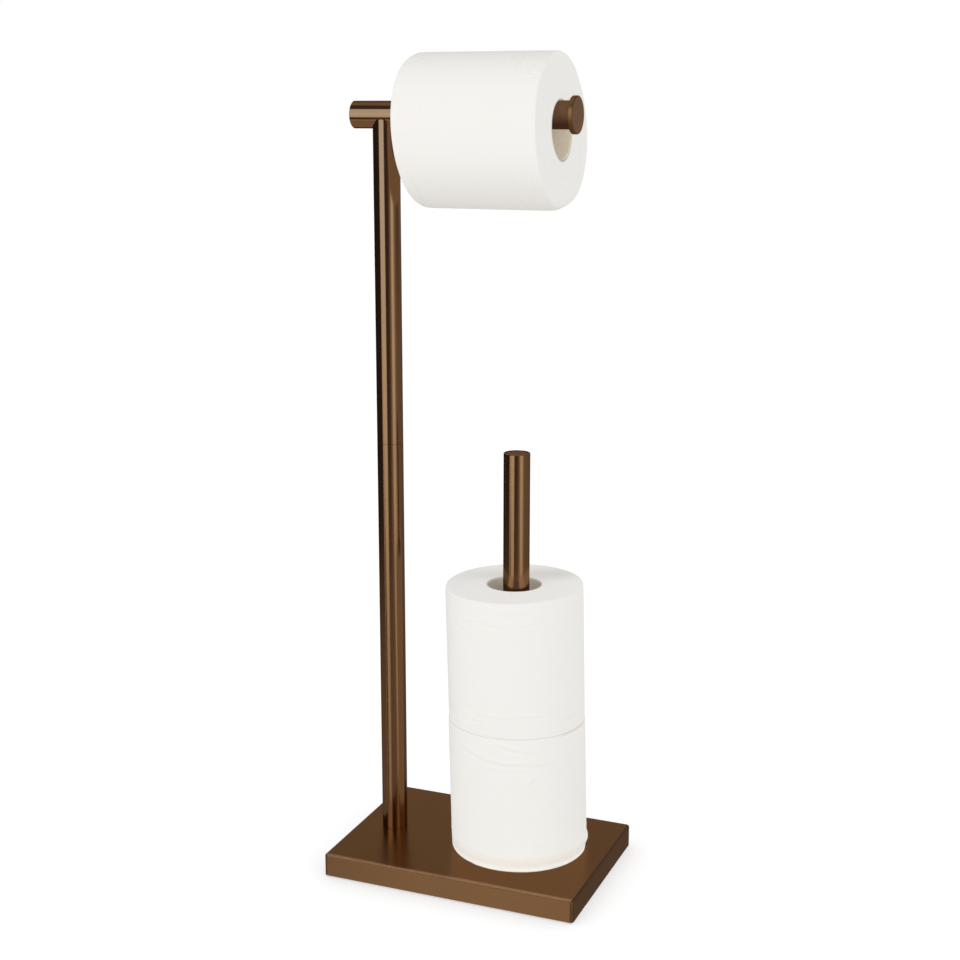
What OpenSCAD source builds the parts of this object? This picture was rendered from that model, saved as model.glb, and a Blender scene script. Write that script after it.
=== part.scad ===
// Freestanding toilet roll holder: a weighted rectangular base, a tall post with a roll arm
// across its top, a short post for spare rolls, and the three rolls that it holds.
// Origin: centre of the footprint, on the floor. +X runs along the arm, +Z is up.

/* [Base] */
// Length of the base
base_l = 194.5; // [170:0.5:240]
// Width of the base
base_w = 135; // [125:0.5:180]
// Height of the base's side walls
base_h = 16.4; // [15:0.2:24]
// Thickness of the base's sheet metal
sheet_t = 1; // [0.8:0.1:1.5]
// Radius of the base's upright corners
corner_r = 2.5; // [2.1:0.1:6]
// Radius of the base's top edges
edge_r = 1.6; // [0.6:0.1:1.8]
// Thickness of the bottom cover
cover_t = 2; // [1.9:0.1:3]
// How far the bottom cover lies inside the base's lower rim
cover_recess = 1.2; // [0.8:0.1:2]
// Height of the base's lower rim above the floor
rim_clear = 1; // [0.6:0.1:2]
// Diameter of a floor pad
pad_d = 16; // [10:1:20]
// Distance of a floor pad's centre from the base's sides
pad_inset = 24; // [22:1:30]
// Distance of a cover screw from the base's sides
cover_screw_inset = 10; // [8:0.5:11]

/* [Tubes] */
// Outer diameter of every tube
tube_d = 19.05; // [18:0.05:24]
// Wall of every tube
tube_wall = 1.2; // [0.8:0.1:1.6]
// Bevel on a tube's cut end
tube_bevel = 0.2; // [0.1:0.1:0.5]
// Length of the lower main tube and of the spare post
tube_l = 300.5; // [270:0.5:320]
// Height of the arm's axis above the base's lower rim
arm_h = 550; // [530:1:600]
// Distance of the main post's axis from the base's end
main_inset = 26.45; // [24.5:0.05:30]
// Distance between the axes of the two posts
post_gap = 98.9; // [90:0.1:105]

/* [Arm] */
// Arm's length from the post's axis to its closed end
arm_back = 24.2; // [16:0.1:25]
// Arm's length from the post's axis to the end cap's face
arm_front = 141.2; // [136:0.1:150]
// Diameter of the end cap
cap_d = 25.4; // [24.2:0.1:30]
// Thickness of the end cap
cap_t = 3.6; // [2.5:0.1:5]
// Radius of the end cap's rims
cap_edge_r = 0.6; // [0.3:0.1:1]

/* [Fasteners] */
// Diameter of the bolts and of the stud in the posts
bolt_d = 8; // [6:0.5:8]
// Diameter of a post bolt's head
bolt_head_d = 14; // [13:0.5:15]
// Height of a post bolt's head
bolt_head_h = 4.4; // [3:0.2:4.6]
// Outer diameter of a post washer
washer_d = 17; // [16:0.5:19]
// Thickness of a post washer
washer_t = 1.6; // [1:0.1:2]
// Reach of a post bolt into its foot insert
bolt_reach = 13; // [8:1:16]
// Diameter of the saddle screw and of the end cap's stud
screw_d = 6; // [4:0.5:6]
// Diameter of the saddle screw's head
screw_head_d = 10; // [9:0.5:11]
// Height of the saddle screw's head
screw_head_h = 6; // [4:0.5:8]
// Diameter of a cover screw
cover_screw_d = 4; // [3:0.5:4]
// Length of a cover screw
cover_screw_l = 10; // [7:0.5:11]

/* [Inserts] */
// Length of an insert at a post's foot
foot_insert_l = 20; // [18:1:30]
// Length of an insert at the joint between the main tubes
joint_insert_l = 18; // [16:1:24]
// Length of the stud that joins the main tubes
stud_l = 30; // [20:1:31]
// Length of the plug under the arm, from its lower end to the arm
saddle_plug_l = 18; // [14:1:24]
// Length of the nut block inside the arm
nut_block_l = 22; // [16:1:26]
// Length of the plug that takes the end cap
end_plug_l = 15; // [12:1:20]
// Length of the plugs that close a tube's end
stopper_l = 6; // [3:0.5:10]

/* [Rolls] */
// Width of a spare roll
spare_roll_w = 101; // [95:0.5:105]
// Width of the roll on the arm
arm_roll_w = 102.6; // [95:0.1:105]
// Diameter of the roll on the arm
arm_roll_d = 106; // [90:0.5:110]
// Diameter of the upper spare roll
upper_roll_d = 100.8; // [90:0.2:110]
// Diameter of the lower spare roll
lower_roll_d = 101.6; // [90:0.2:110]
// Bore of a roll's cardboard core
core_d = 39.4; // [38:0.2:44]
// Wall of a roll's cardboard core
core_wall = 0.6; // [0.5:0.1:1.5]
// Rounding of the paper's outer edges
shoulder_r = 1.4; // [0.8:0.1:6]
// Rounding of the paper's edges beside the core
lip_r = 0.6; // [0.4:0.1:1.5]
// How far the arm roll's windings have slid along the arm, per mm of height
arm_roll_lean = 0.055; // [0:0.005:0.06]
// How far the spare rolls' windings have slid along the base, per mm of height
spare_roll_lean = 0.026; // [0:0.002:0.03]
// Place of the arm roll's outer face, back from the end cap's face
arm_roll_back = 11.3; // [9:0.1:16]
// How far the upper spare roll stands off the post's axis along the base
upper_roll_off_x = -2.5; // [-4:0.1:4]
// How far both spare rolls stand off the post's axis across the base
spare_roll_off_y = 6; // [0:0.1:7]
// How far the lower spare roll stands off the post's axis along the base
lower_roll_off_x = 0.3; // [-4:0.1:4]

/* [Hidden] */
$fn = 96;

// Hairline left round a pressed, screwed or glued piece
seat_gap = 0.05;
// Room round a piece that drops in loosely
drop_gap = 0.3;
// Room left between the arm and the core that hangs on it
hang_gap = 0.2;
// Overrun of every cut past the face it opens
over = 1;
// Iron left over a post bolt's washer
web_t = 6;
// Room round a bolt's head in the iron and in the cover
head_room = 2.5;
// Width and depth of the hex sockets
socket_af = 5;
socket_deep = 2.4;
// Depth of a cover screw's countersunk head, and how far the head lies inside the cover
sink_deep = 1.8;
sink_in = 0.1;
// Depth left past the screw in a blind hole, and the floor left under the end cap's blind hole
blind_room = 1.5;
plug_floor = 2;
// How far the saddle's two ears stop under the arm's axis
ear_trim = 3.4;
// How far the spare post's stopper lies under the tube's rim, and the bevel round stoppers
stopper_in = 0.3;
stopper_bevel = 0.5;

tube_r = tube_d / 2;
tube_ir = tube_r - tube_wall;
insert_r = tube_ir - seat_gap;
bolt_r = bolt_d / 2;
screw_r = screw_d / 2;

rim_z = rim_clear;
cover_z = rim_z + cover_recess;
ballast_z = cover_z + cover_t;
ballast_top = rim_z + base_h - sheet_t;
base_top = rim_z + base_h;
ballast_t = ballast_top - ballast_z;
head_hole_r = washer_d / 2 + head_room;
washer_z = ballast_top - web_t - washer_t;

main_x = main_inset - base_l / 2;
spare_x = main_x + post_gap;
post_places = [main_x, spare_x];
joint_z = base_top + tube_l;
arm_z = rim_z + arm_h;
saddle_z = arm_z - tube_r;
arm_x0 = main_x - arm_back;
cap_face_x = main_x + arm_front;
cap_x = cap_face_x - cap_t;

screw_reach = screw_d * 2;
screw_top = saddle_z + screw_reach;
screw_under = saddle_z - saddle_plug_l;
cap_stud_l = end_plug_l - plug_floor - blind_room;

core_r = core_d / 2;
core_or = core_r + core_wall;
paper_r = core_or + seat_gap;
arm_roll_x = cap_face_x - arm_roll_back - arm_roll_w;
arm_roll_z = arm_z + tube_r + hang_gap - core_r;
lower_roll_z = base_top;
upper_roll_z = base_top + spare_roll_w;

bronze = [0.36, 0.25, 0.17];
steel = [0.70, 0.70, 0.72];
iron = [0.22, 0.22, 0.23];
black = [0.10, 0.10, 0.10];
card = [0.74, 0.64, 0.50];
paper = [0.95, 0.94, 0.92];

// Section of the base: square foot, rounded top edges
module slab_section(w, h, r) {
    translate([-w / 2, 0])
        square([w, h - r]);
    translate([-w / 2 + r, 0])
        square([w - 2 * r, h]);
    for (side = [-1, 1])
        translate([side * (w / 2 - r), h - r])
            circle(r);
}

// Round column at the base's corner, with the same rounded top edge
module corner_column(r, h, e) {
    rotate_extrude() {
        square([r, h - e]);
        square([r - e, h]);
        translate([r - e, h - e])
            intersection() {
                circle(e);
                square([e, e]);
            }
    }
}

// Outline of the room inside the base, with a gap left to its walls
module room_plan(gap) {
    in = sheet_t + gap;
    l = base_l - 2 * in;
    w = base_w - 2 * in;
    r = corner_r - in;
    square([l - 2 * r, w], center = true);
    square([l, w - 2 * r], center = true);
    for (sx = [-1, 1], sy = [-1, 1])
        translate([sx * (l / 2 - r), sy * (w / 2 - r)])
            circle(r);
}

// Slab with round upright corners and rounded top edges
module rounded_slab(l, w, h, r, e) {
    translate([-l / 2 + r, 0, 0])
        rotate([90, 0, 90])
            linear_extrude(l - 2 * r)
                slab_section(w, h, e);
    translate([0, w / 2 - r, 0])
        rotate([90, 0, 0])
            linear_extrude(w - 2 * r)
                slab_section(l, h, e);
    for (sx = [-1, 1], sy = [-1, 1])
        translate([sx * (l / 2 - r), sy * (w / 2 - r), 0])
            corner_column(r, h, e);
}

module at_corners(inset, z) {
    for (sx = [-1, 1], sy = [-1, 1])
        translate([sx * (base_l / 2 - inset), sy * (base_w / 2 - inset), z])
            children();
}

// Things at both posts, at height z
module at_posts(z) {
    for (x = post_places)
        translate([x, 0, z])
            children();
}

// Straight tube along +Z with beveled outer ends
module tube(l) {
    rotate_extrude()
        polygon([
            [tube_ir, 0],
            [tube_r - tube_bevel, 0],
            [tube_r, tube_bevel],
            [tube_r, l - tube_bevel],
            [tube_r - tube_bevel, l],
            [tube_ir, l]
        ]);
}

// Threaded insert, pressed into a tube
module insert(l) {
    difference() {
        cylinder(h = l, r = insert_r);
        translate([0, 0, -over])
            cylinder(h = l + 2 * over, r = bolt_r + seat_gap);
    }
}

// Plug that closes a tube's end: its top face is beveled
module stopper(l) {
    cylinder(h = l - stopper_bevel, r = insert_r);
    translate([0, 0, l - stopper_bevel])
        cylinder(h = stopper_bevel, r1 = insert_r, r2 = insert_r - stopper_bevel);
}

// Hex socket that opens downwards at z = 0
module hex_socket() {
    translate([0, 0, -over])
        cylinder(h = socket_deep + over, r = socket_af / sqrt(3), $fn = 6);
}

module base_shell() {
    color(bronze)
        difference() {
            translate([0, 0, rim_z])
                rounded_slab(base_l, base_w, base_h, corner_r, edge_r);
            translate([0, 0, rim_z - over])
                linear_extrude(base_h - sheet_t + over)
                    room_plan(0);
            at_posts(ballast_top - over)
                cylinder(h = sheet_t + 2 * over, r = bolt_r + drop_gap);
        }
}

module ballast_slab() {
    color(iron)
        difference() {
            translate([0, 0, ballast_z])
                linear_extrude(ballast_t)
                    room_plan(drop_gap);
            at_posts(ballast_z - over)
                cylinder(h = ballast_t + 2 * over, r = bolt_r + drop_gap);
            at_posts(ballast_z - over)
                cylinder(h = ballast_t - web_t + over, r = head_hole_r);
            at_corners(cover_screw_inset, ballast_z - over)
                cylinder(h = cover_screw_l - cover_t + blind_room + over, r = cover_screw_d / 2 + seat_gap);
        }
}

module bottom_cover() {
    color(black)
        difference() {
            translate([0, 0, cover_z])
                linear_extrude(cover_t)
                    room_plan(drop_gap);
            at_posts(cover_z - over)
                cylinder(h = cover_t + 2 * over, r = head_hole_r);
            at_corners(cover_screw_inset, cover_z - over)
                cylinder(h = cover_t + 2 * over, r = cover_screw_d / 2 + seat_gap);
            at_corners(cover_screw_inset, cover_z + sink_in)
                cylinder(h = sink_deep, r1 = cover_screw_d / 2 + sink_deep + seat_gap,
                         r2 = cover_screw_d / 2 + seat_gap);
            at_corners(cover_screw_inset, cover_z - over)
                cylinder(h = over + sink_in, r = cover_screw_d / 2 + sink_deep + seat_gap);
        }
}

module cover_screws() {
    head_r = cover_screw_d / 2 + sink_deep;
    color(steel)
        at_corners(cover_screw_inset, cover_z + sink_in)
            difference() {
                union() {
                    cylinder(h = sink_deep, r1 = head_r, r2 = cover_screw_d / 2);
                    cylinder(h = cover_screw_l - sink_in, r = cover_screw_d / 2);
                }
                for (turn = [0, 90])
                    rotate(turn)
                        translate([-cover_screw_d / 2, -sink_deep / 4, -over])
                            cube([cover_screw_d, sink_deep / 2, sink_deep / 2 + over]);
            }
}

module floor_pads() {
    color(black)
        at_corners(pad_inset, 0)
            cylinder(h = cover_z, d = pad_d);
}

module post_washers() {
    color(steel)
        at_posts(washer_z)
            difference() {
                cylinder(h = washer_t, d = washer_d);
                translate([0, 0, -over])
                    cylinder(h = washer_t + 2 * over, r = bolt_r + drop_gap);
            }
}

module post_bolts() {
    color(steel)
        at_posts(washer_z - bolt_head_h)
            difference() {
                union() {
                    cylinder(h = bolt_head_h, d = bolt_head_d);
                    cylinder(h = bolt_head_h + washer_t + web_t + sheet_t + bolt_reach, r = bolt_r);
                }
                hex_socket();
            }
}

module main_foot_insert() {
    color(steel)
        translate([main_x, 0, base_top])
            insert(foot_insert_l);
}

module lower_main_tube() {
    color(bronze)
        translate([main_x, 0, base_top])
            tube(tube_l);
}

module lower_joint_insert() {
    color(steel)
        translate([main_x, 0, joint_z - joint_insert_l])
            insert(joint_insert_l);
}

module joint_stud() {
    color(steel)
        translate([main_x, 0, joint_z - stud_l / 2])
            cylinder(h = stud_l, r = bolt_r);
}

module upper_joint_insert() {
    color(steel)
        translate([main_x, 0, joint_z])
            insert(joint_insert_l);
}

// The upper tube ends in a saddle that follows the arm's underside
module upper_main_tube() {
    color(bronze)
        difference() {
            translate([main_x, 0, joint_z])
                rotate_extrude()
                    polygon([
                        [tube_ir, 0],
                        [tube_r - tube_bevel, 0],
                        [tube_r, tube_bevel],
                        [tube_r, arm_z - ear_trim - joint_z],
                        [tube_ir, arm_z - ear_trim - joint_z]
                    ]);
            saddle_cut(tube_r + seat_gap);
        }
}

module saddle_cut(r) {
    translate([main_x - tube_d, 0, arm_z])
        rotate([0, 90, 0])
            cylinder(h = 2 * tube_d, r = r);
}

module saddle_plug() {
    color(steel)
        difference() {
            translate([main_x, 0, screw_under])
                cylinder(h = arm_z - ear_trim - screw_under, r = insert_r);
            saddle_cut(tube_r + seat_gap);
            translate([main_x, 0, screw_under - over])
                cylinder(h = saddle_plug_l + tube_r + over, r = screw_r + drop_gap);
        }
}

module saddle_screw() {
    color(steel)
        translate([main_x, 0, screw_under - screw_head_h])
            difference() {
                union() {
                    cylinder(h = screw_head_h, d = screw_head_d);
                    cylinder(h = screw_top - screw_under + screw_head_h, r = screw_r);
                }
                hex_socket();
            }
}

module arm_nut_block() {
    color(steel)
        difference() {
            translate([main_x - nut_block_l / 2, 0, arm_z])
                rotate([0, 90, 0])
                    cylinder(h = nut_block_l, r = insert_r);
            translate([main_x, 0, saddle_z])
                cylinder(h = screw_reach + blind_room, r = screw_r + seat_gap);
        }
}

module arm_tube() {
    color(bronze)
        difference() {
            translate([arm_x0, 0, arm_z])
                rotate([0, 90, 0])
                    tube(cap_x - arm_x0);
            translate([main_x, 0, saddle_z - over])
                cylinder(h = tube_r + over, r = screw_r + drop_gap);
        }
}

module arm_back_stopper() {
    color(bronze)
        translate([arm_x0 + stopper_l, 0, arm_z])
            rotate([0, -90, 0])
                stopper(stopper_l);
}

module arm_end_plug() {
    color(steel)
        translate([cap_x - end_plug_l, 0, arm_z])
            rotate([0, 90, 0])
                difference() {
                    cylinder(h = end_plug_l, r = insert_r);
                    translate([0, 0, plug_floor])
                        cylinder(h = end_plug_l, r = screw_r + seat_gap);
                }
}

// Turned cap with rounded rims, and the stud that screws it to its plug
module arm_end_cap() {
    cap_r = cap_d / 2;
    color(bronze)
        translate([cap_x, 0, arm_z])
            rotate([0, 90, 0]) {
                rotate_extrude() {
                    square([cap_r - cap_edge_r, cap_t]);
                    translate([0, cap_edge_r])
                        square([cap_r, cap_t - 2 * cap_edge_r]);
                    for (z = [cap_edge_r, cap_t - cap_edge_r])
                        translate([cap_r - cap_edge_r, z])
                            circle(cap_edge_r);
                }
                translate([0, 0, -cap_stud_l])
                    cylinder(h = cap_stud_l + cap_t / 2, r = screw_r);
            }
}

module spare_foot_insert() {
    color(steel)
        translate([spare_x, 0, base_top])
            insert(foot_insert_l);
}

module spare_post_tube() {
    color(bronze)
        translate([spare_x, 0, base_top])
            tube(tube_l);
}

module spare_top_stopper() {
    color(bronze)
        translate([spare_x, 0, base_top + tube_l - stopper_in - stopper_l])
            stopper(stopper_l);
}

// Cardboard core along +Z
module roll_core(w) {
    color(card)
        difference() {
            cylinder(h = w, r = core_or);
            translate([0, 0, -over])
                cylinder(h = w + 2 * over, r = core_r);
        }
}

// Wound paper along +Z: wide shoulders outside, small lips beside the core
module roll_paper(d, w) {
    out_r = d / 2;
    flat_r = out_r - shoulder_r;
    lip_end = paper_r + lip_r;
    color(paper)
        rotate_extrude() {
            translate([lip_end, 0])
                square([flat_r - lip_end, w]);
            translate([paper_r, lip_r])
                square([lip_r, w - 2 * lip_r]);
            translate([flat_r, shoulder_r])
                square([shoulder_r, w - 2 * shoulder_r]);
            for (z = [lip_r, w - lip_r])
                translate([lip_end, z])
                    circle(lip_r);
            for (z = [shoulder_r, w - shoulder_r])
                translate([flat_r, z])
                    circle(shoulder_r);
        }
}

// A soft roll out of true: the higher a winding lies, the further it stands back along the base
module leaning(lean) {
    multmatrix([
        [1, 0, -lean, 0],
        [0, 1, 0, 0],
        [0, 0, 1, 0],
        [0, 0, 0, 1]
    ])
        children();
}

module on_arm() {
    translate([arm_roll_x, 0, arm_roll_z])
        leaning(arm_roll_lean)
            rotate([0, 90, 0])
                children();
}

// On the spare post, where off_x is the roll's place at half its width
module on_spare(off_x, z) {
    translate([spare_x + off_x, spare_roll_off_y, z + spare_roll_w / 2])
        leaning(spare_roll_lean)
            translate([0, 0, -spare_roll_w / 2])
                children();
}

module arm_roll_core() {
    on_arm()
        roll_core(arm_roll_w);
}

module arm_roll_paper() {
    on_arm()
        roll_paper(arm_roll_d, arm_roll_w);
}

module lower_roll_core() {
    on_spare(lower_roll_off_x, lower_roll_z)
        roll_core(spare_roll_w);
}

module lower_roll_paper() {
    on_spare(lower_roll_off_x, lower_roll_z)
        roll_paper(lower_roll_d, spare_roll_w);
}

module upper_roll_core() {
    on_spare(upper_roll_off_x, upper_roll_z)
        roll_core(spare_roll_w);
}

module upper_roll_paper() {
    on_spare(upper_roll_off_x, upper_roll_z)
        roll_paper(upper_roll_d, spare_roll_w);
}

base_shell();
ballast_slab();
bottom_cover();
cover_screws();
floor_pads();
post_washers();
post_bolts();
main_foot_insert();
lower_main_tube();
lower_joint_insert();
joint_stud();
upper_joint_insert();
upper_main_tube();
saddle_plug();
saddle_screw();
arm_nut_block();
arm_tube();
arm_back_stopper();
arm_end_plug();
arm_end_cap();
spare_foot_insert();
spare_post_tube();
spare_top_stopper();
arm_roll_core();
arm_roll_paper();
lower_roll_core();
lower_roll_paper();
upper_roll_core();
upper_roll_paper();
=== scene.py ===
import math

import bpy
import numpy as np
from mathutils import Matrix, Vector


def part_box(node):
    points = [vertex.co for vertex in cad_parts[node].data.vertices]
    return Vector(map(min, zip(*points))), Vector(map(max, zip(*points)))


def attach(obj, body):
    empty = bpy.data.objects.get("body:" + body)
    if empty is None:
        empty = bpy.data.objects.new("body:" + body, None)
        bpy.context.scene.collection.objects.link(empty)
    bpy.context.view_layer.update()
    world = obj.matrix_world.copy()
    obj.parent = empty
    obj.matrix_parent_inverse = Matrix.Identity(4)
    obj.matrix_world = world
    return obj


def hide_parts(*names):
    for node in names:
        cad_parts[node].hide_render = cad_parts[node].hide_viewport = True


# Freestanding toilet roll holder in brushed bronze, loaded with three rolls.
# The metal comes from the CAD frame and gets its finish here; the paper is modelled here.

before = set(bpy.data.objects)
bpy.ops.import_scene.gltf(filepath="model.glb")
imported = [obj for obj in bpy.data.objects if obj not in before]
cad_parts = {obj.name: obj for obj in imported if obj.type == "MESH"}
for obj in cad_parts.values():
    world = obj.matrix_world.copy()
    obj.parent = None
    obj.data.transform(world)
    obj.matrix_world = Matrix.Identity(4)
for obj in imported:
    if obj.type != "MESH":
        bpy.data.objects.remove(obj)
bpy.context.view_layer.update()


# node tree helpers

def newMaterial(name):
    material = bpy.data.materials.new(name)
    material.use_nodes = True
    tree = material.node_tree
    tree.nodes.clear()
    return material, tree


def addNode(tree, kind, inputs=None, **settings):
    node = tree.nodes.new(kind)
    for key, value in settings.items():
        setattr(node, key, value)
    for key, value in (inputs or {}).items():
        if isinstance(value, bpy.types.NodeSocket):
            tree.links.new(value, node.inputs[key])
        else:
            node.inputs[key].default_value = value
    return node


def sums(tree, kind, first, second=0.0, clamp=False):  # one maths step on two values
    node = addNode(tree, "ShaderNodeMath", {0: first, 1: second}, operation=kind, use_clamp=clamp)
    return node.outputs[0]


def spread(tree, value, low, high):  # a 0..1 value spread over low..high
    node = addNode(tree, "ShaderNodeMapRange", {"Value": value, "To Min": low, "To Max": high})
    return node.outputs[0]


def band(tree, value, start, end):  # 0 at start, 1 at end, smooth in between
    node = addNode(tree, "ShaderNodeMapRange", {"Value": value, "From Min": start, "From Max": end},
                   interpolation_type="SMOOTHSTEP")
    return node.outputs[0]


def mixColour(tree, share, first, second):
    node = addNode(tree, "ShaderNodeMix", data_type="RGBA")
    for socket, value in ((node.inputs[0], share), (node.inputs[6], first), (node.inputs[7], second)):
        if isinstance(value, bpy.types.NodeSocket):
            tree.links.new(value, socket)
        else:
            socket.default_value = value
    return node.outputs[2]


def pieceCoords(tree, scale=(1, 1, 1)):  # the piece's own coordinates, in metres times scale
    source = addNode(tree, "ShaderNodeTexCoord")
    mapping = addNode(tree, "ShaderNodeMapping", {"Vector": source.outputs["Object"], "Scale": scale})
    return mapping.outputs[0]


def facing(tree):  # the surface's own direction, as x, y and z
    source = addNode(tree, "ShaderNodeTexCoord")
    return addNode(tree, "ShaderNodeSeparateXYZ", {0: source.outputs["Normal"]}).outputs


def noise(tree, vector, scale, detail=2.0, roughness=0.5, distortion=0.0):
    node = addNode(tree, "ShaderNodeTexNoise", {"Vector": vector, "Scale": scale, "Detail": detail,
                                                "Roughness": roughness, "Distortion": distortion})
    return node.outputs["Fac"]


def finishWith(tree, shader):
    addNode(tree, "ShaderNodeOutputMaterial", {"Surface": shader.outputs[0]})


def rgba(colour):
    return (*colour, 1.0)


black = rgba((0.0, 0.0, 0.0))


def dress(names, material):  # a material into every slot of these CAD nodes
    for name in names:
        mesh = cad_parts[name].data
        if not mesh.materials:
            mesh.materials.append(material)
        for index in range(len(mesh.materials)):
            mesh.materials[index] = material


# bronze

bronzeSet = {
    "colour": (0.41, 0.255, 0.133),
    "deep": (0.36, 0.215, 0.108),
    # rounded edges: worn, and darkened as painted shade
    "dulledShade": (0.26, 0.165, 0.090),
    "frontHighlight": ((0.35, 0.185, 0.08), (0.84, 0.52, 0.26)),    # painted highlight on the base's upper front edge, low and high
    "paintedHighlight": (0.84, 0.61, 0.38),   # painted highlight on the strip of the top beside it
    "stripIn": (0.0037, 0.0020),    # how far from the front that strip reaches
    "edgesFrom": (0.998, 0.955),    # the largest share of a direction at which an edge begins, and is full
    "frontHighlightUp": (0.45, 0.9),        # the upward share from low to high
    "wearPatches": 210,    # noise scale
    "wearMatt": 0.35,      # added to the roughness where it is worn
    "bounce": (0.99, 0.98, 0.95),   # painted light: what the base's top gives back to the paper that stands on it
    "rim": (0.46, 0.255, 0.10),
    "rimFrom": (0.5, 0.2),          # the sideways share, where the cap's face gives way to its rim
    "shaded": (0.20, 0.125, 0.07),  # painted shade on the small fillet round the cap's face
    "shadedShare": 0.8,
    "edge": (0.78, 0.62, 0.48),     # what it reflects at a glance
    "hairAlong": 9000,     # brush hairs per metre, across their own run
    "hairRun": 45,         # how fast a hair changes along its run
    "cloudScale": 26,      # handling marks
    "bump": 0.35,
    "longHighlight": 0.7,  # on tubes, where it turns about their axis
    "hairTurn": 0.25,      # in turns
}


def brushedBronze(name, hairs, roughness, uneven, bumpDepth, highlightAbout=None, edgesAndPaintedLight=None):
    # hairs says across which directions they follow each other closely
    s = bronzeSet
    material, tree = newMaterial(name)
    fine, run = s["hairAlong"], s["hairRun"]
    scale = [fine if axis in hairs else run for axis in "xyz"]
    broad = [fine / 9 if axis in hairs else run for axis in "xyz"]
    brushing = noise(tree, pieceCoords(tree, scale), 1.0, 3.0, 0.6)
    streaks = noise(tree, pieceCoords(tree, broad), 1.0, 2.0, 0.5)
    clouds = noise(tree, pieceCoords(tree), s["cloudScale"], 4.0, 0.55, 0.4)
    tone = sums(tree, "ADD", spread(tree, clouds, 0.1, 0.65), spread(tree, streaks, -0.2, 0.3), True)
    colour = mixColour(tree, tone, rgba(s["colour"]), rgba(s["deep"]))
    rough = sums(tree, "ADD", spread(tree, clouds, roughness - uneven, roughness + uneven),
                 spread(tree, brushing, -uneven, uneven))
    metallic = 1.0
    if edgesAndPaintedLight:
        colour, rough, metallic = edgesAndPaintedLight(tree, colour, rough, facing(tree))
    bump = addNode(tree, "ShaderNodeBump", {"Height": sums(tree, "ADD", brushing, streaks),
                                            "Strength": s["bump"], "Distance": bumpDepth})
    shader = addNode(tree, "ShaderNodeBsdfPrincipled", {
        "Base Color": colour, "Metallic": metallic, "Roughness": rough, "Normal": bump.outputs[0],
        "Specular Tint": rgba(s["edge"])})
    if highlightAbout:
        tangent = addNode(tree, "ShaderNodeTangent", direction_type="RADIAL", axis=highlightAbout)
        tree.links.new(tangent.outputs[0], shader.inputs["Tangent"])
        shader.inputs["Anisotropic"].default_value = s["longHighlight"]
        shader.inputs["Anisotropic Rotation"].default_value = s["hairTurn"]
    finishWith(tree, shader)
    return material


def wornEdgesAndHighlights(tree, normal):
    # the base's rounded edges, worn and with painted shade; a painted highlight on its upper front edge and
    # on the strip of top beside that
    # directions are shares: 1 looks straight along the axis, 0 at a right angle to it
    patchy = spread(tree, noise(tree, pieceCoords(tree), bronzeSet["wearPatches"], 3.0), 0.8, 1.1)
    sides = [sums(tree, "ABSOLUTE", side) for side in normal]
    largest = sums(tree, "MAXIMUM", sums(tree, "MAXIMUM", sides[0], sides[1]), sides[2])
    forward, up = normal[1], normal[2]
    upper = sums(tree, "MULTIPLY", band(tree, up, 0.03, 0.2), band(tree, sides[0], 0.25, 0.05))
    frontEdge = sums(tree, "MULTIPLY", upper, band(tree, forward, -0.01, -0.06), True)
    notFront = sums(tree, "SUBTRACT", 1.0, sums(tree, "MULTIPLY", upper, band(tree, forward, 0.0, -0.02)))
    edges = sums(tree, "MULTIPLY", band(tree, largest, *bronzeSet["edgesFrom"]), patchy, True)
    edges = sums(tree, "MULTIPLY", edges, notFront, True)
    place = addNode(tree, "ShaderNodeSeparateXYZ", {0: pieceCoords(tree)})
    inward = sums(tree, "SUBTRACT", place.outputs[1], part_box("base_shell")[0].y)
    strip = sums(tree, "MULTIPLY", band(tree, inward, *bronzeSet["stripIn"]), band(tree, up, 0.985, 0.999))
    return edges, frontEdge, sums(tree, "MULTIPLY", strip, patchy, True)


def plateWearAndPaintedLight(tree, colour, rough, normal):
    # worn edges with painted shade, a painted highlight on the upper front edge and the strip beside it,
    # and a top that gives painted light back to the paper that stands on it
    s = bronzeSet
    edges, frontEdge, strip = wornEdgesAndHighlights(tree, normal)
    # painted shade, with patchy wear: the rounded edges darker
    colour = mixColour(tree, edges, colour, rgba(s["dulledShade"]))
    # painted highlight: the strip of top behind the front edge, then the front edge itself
    colour = mixColour(tree, strip, colour, rgba(s["paintedHighlight"]))
    low, high = (rgba(tone) for tone in s["frontHighlight"])
    frontHighlight = mixColour(tree, band(tree, normal[2], *s["frontHighlightUp"]), low, high)
    colour = mixColour(tree, frontEdge, colour, frontHighlight)
    matt = sums(tree, "MAXIMUM", frontEdge, sums(tree, "MULTIPLY", edges, 0.6))
    rough = sums(tree, "ADD", rough, sums(tree, "MULTIPLY", matt, s["wearMatt"]))
    # painted light: for diffuse rays the top is white and not metal, so the paper standing on it is lit
    # more
    paperSide = sums(tree, "MULTIPLY", addNode(tree, "ShaderNodeLightPath").outputs["Is Diffuse Ray"],
                     band(tree, normal[2], 0.9, 0.98))
    colour = mixColour(tree, paperSide, colour, rgba(s["bounce"]))
    return colour, rough, sums(tree, "SUBTRACT", 1.0, paperSide)


def capRimAndShade(tree, colour, rough, normal):
    # a warmer rim, and painted shade: a dark fillet round the face
    s = bronzeSet
    flat = sums(tree, "ABSOLUTE", normal[0])
    colour = mixColour(tree, band(tree, flat, *s["rimFrom"]), colour, rgba(s["rim"]))
    fillet = sums(tree, "MULTIPLY", band(tree, flat, 0.3, 0.55), band(tree, flat, 0.985, 0.9))
    colour = mixColour(tree, sums(tree, "MULTIPLY", fillet, s["shadedShare"]), colour, rgba(s["shaded"]))
    return colour, rough, 1.0


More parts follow.
